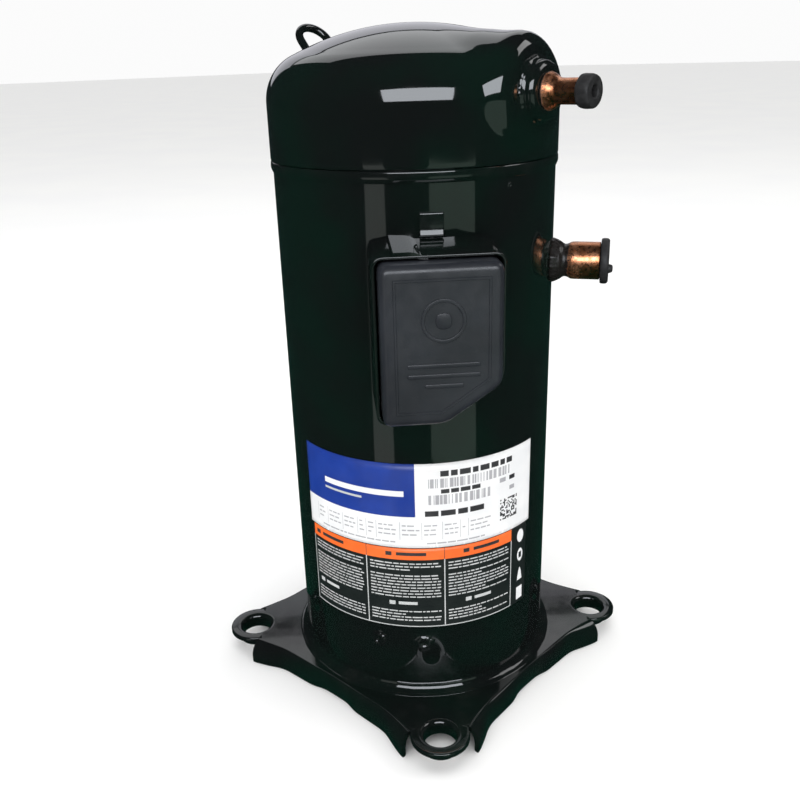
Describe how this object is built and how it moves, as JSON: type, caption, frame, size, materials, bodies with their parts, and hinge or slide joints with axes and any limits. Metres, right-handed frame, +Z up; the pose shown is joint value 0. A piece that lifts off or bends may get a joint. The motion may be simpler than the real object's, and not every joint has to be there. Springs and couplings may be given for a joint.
{
  "type": "scroll compressor",
  "caption": "Hermetic scroll compressor: domed welded shell on a stamped square base, copper suction and discharge stubs, terminal box, with the motor and scroll set inside.",
  "frame": {"origin": "centre of the mounting-hole square, on the plane that the base skirts stand on", "axes": "+Z up along the shell and crankshaft axis; +X towards the discharge fitting; the terminal box faces between +X and -Y"},
  "size_m": [0.2476, 0.2335, 0.4608],
  "materials": {
    "gloss_black_paint": "deep gloss black paint over steel",
    "copper": "drawn and plated copper, partly oversprayed",
    "black_rubber": "matte black rubber",
    "moulded_plastic": "satin dark grey moulding",
    "sealing_glass": "dark green fused bead",
    "nameplate_film": "printed film, white with a blue panel",
    "warning_film": "printed film, dark with an orange band",
    "machined_iron": "machined grey iron",
    "lamination_steel": "stacked laminations",
    "enamelled_wire": "varnished end turns",
    "bearing_bronze": "machined bronze and brass",
    "cast_aluminium": "die cast",
    "bright_steel": "machined or pressed steel"
  },
  "bodies": {
    "housing": {"base_plate": "gloss_black_paint", "base_weld": "gloss_black_paint", "centre_shell": "gloss_black_paint", "cap_weld": "gloss_black_paint", "top_cap": "gloss_black_paint", "lifting_loop": "gloss_black_paint", "discharge_boss": "gloss_black_paint", "discharge_stub": "copper", "suction_stub": "copper", "terminal_fence": "gloss_black_paint", "fence_tab": "gloss_black_paint", "terminal_cup": "bright_steel", "terminal_glass_1": "sealing_glass", "terminal_glass_2": "sealing_glass", "terminal_glass_3": "sealing_glass", "terminal_pin_1": "bright_steel", "terminal_pin_2": "bright_steel", "terminal_pin_3": "bright_steel", "terminal_block": "moulded_plastic", "ground_screw": "bearing_bronze", "nameplate_label": "nameplate_film", "warning_label": "warning_film", "main_housing": "machined_iron", "main_bearing": "bearing_bronze", "guide_bolt_1": "bright_steel", "guide_bolt_2": "bright_steel", "guide_bolt_3": "bright_steel", "guide_bolt_4": "bright_steel", "guide_sleeve_1": "bright_steel", "guide_sleeve_2": "bright_steel", "guide_sleeve_3": "bright_steel", "guide_sleeve_4": "bright_steel", "partition_plate": "bright_steel", "relief_valve": "bearing_bronze", "valve_retainer": "bright_steel", "stator_core": "lamination_steel", "upper_winding": "enamelled_wire", "lower_winding": "enamelled_wire", "lower_bearing_bracket": "bright_steel", "lower_bearing": "bearing_bronze"},
    "crank": {"crankshaft": "bright_steel", "rotor": "lamination_steel", "upper_counterweight": "bearing_bronze", "lower_counterweight": "bearing_bronze", "oil_pickup": "bright_steel", "drive_bushing": "bright_steel"},
    "orbiter": {"orbiting_scroll": "machined_iron", "drive_bearing": "bearing_bronze"},
    "oldham": {"oldham_ring": "cast_aluminium"},
    "non_orbiting": {"fixed_scroll": "machined_iron"},
    "seal": {"floating_seal": "machined_iron"},
    "valve_disc": {"check_valve_disc": "bright_steel"},
    "cover": {"terminal_cover": "moulded_plastic"},
    "discharge_stopper": {"discharge_plug": "black_rubber"},
    "suction_stopper": {"suction_cap": "black_rubber"}
  },
  "joints": [
    {"name": "crankshaft_spin", "type": "hinge", "parent": "housing", "child": "crank", "pos_m": [0, 0, 0.2], "axis": [0, 0, 1], "continuous": true},
    {"name": "orbiting_scroll_orbit", "type": "hinge", "parent": "crank", "child": "orbiter", "pos_m": [0.00448, 0, 0.31], "axis": [0, 0, 1], "continuous": true},
    {"name": "oldham_ring_slide", "type": "slide", "parent": "housing", "child": "oldham", "axis": [1, 0, 0], "range_m": [-0.00448, 0.00448]},
    {"name": "non_orbiting_scroll_lift", "type": "slide", "parent": "housing", "child": "non_orbiting", "axis": [0, 0, 1], "range_m": [0, 0.001]},
    {"name": "floating_seal_lift", "type": "slide", "parent": "non_orbiting", "child": "seal", "axis": [0, 0, 1], "range_m": [0, 0.0015]},
    {"name": "check_valve_lift", "type": "slide", "parent": "housing", "child": "valve_disc", "axis": [0, 0, 1], "range_m": [0, 0.003]},
    {"name": "terminal_cover_pull", "type": "slide", "parent": "housing", "child": "cover", "axis": [0.729, -0.6845, 0], "range_m": [0, 0.03]},
    {"name": "discharge_plug_pull", "type": "slide", "parent": "housing", "child": "discharge_stopper", "axis": [1, 0, 0], "range_m": [0, 0.025]},
    {"name": "suction_cap_pull", "type": "slide", "parent": "housing", "child": "suction_stopper", "axis": [0.8829, 0.4695, 0], "range_m": [0, 0.025]}
  ],
  "couplings": [
    {"joint": "orbiting_scroll_orbit", "follows": "crankshaft_spin", "ratio": -1}
  ]
}
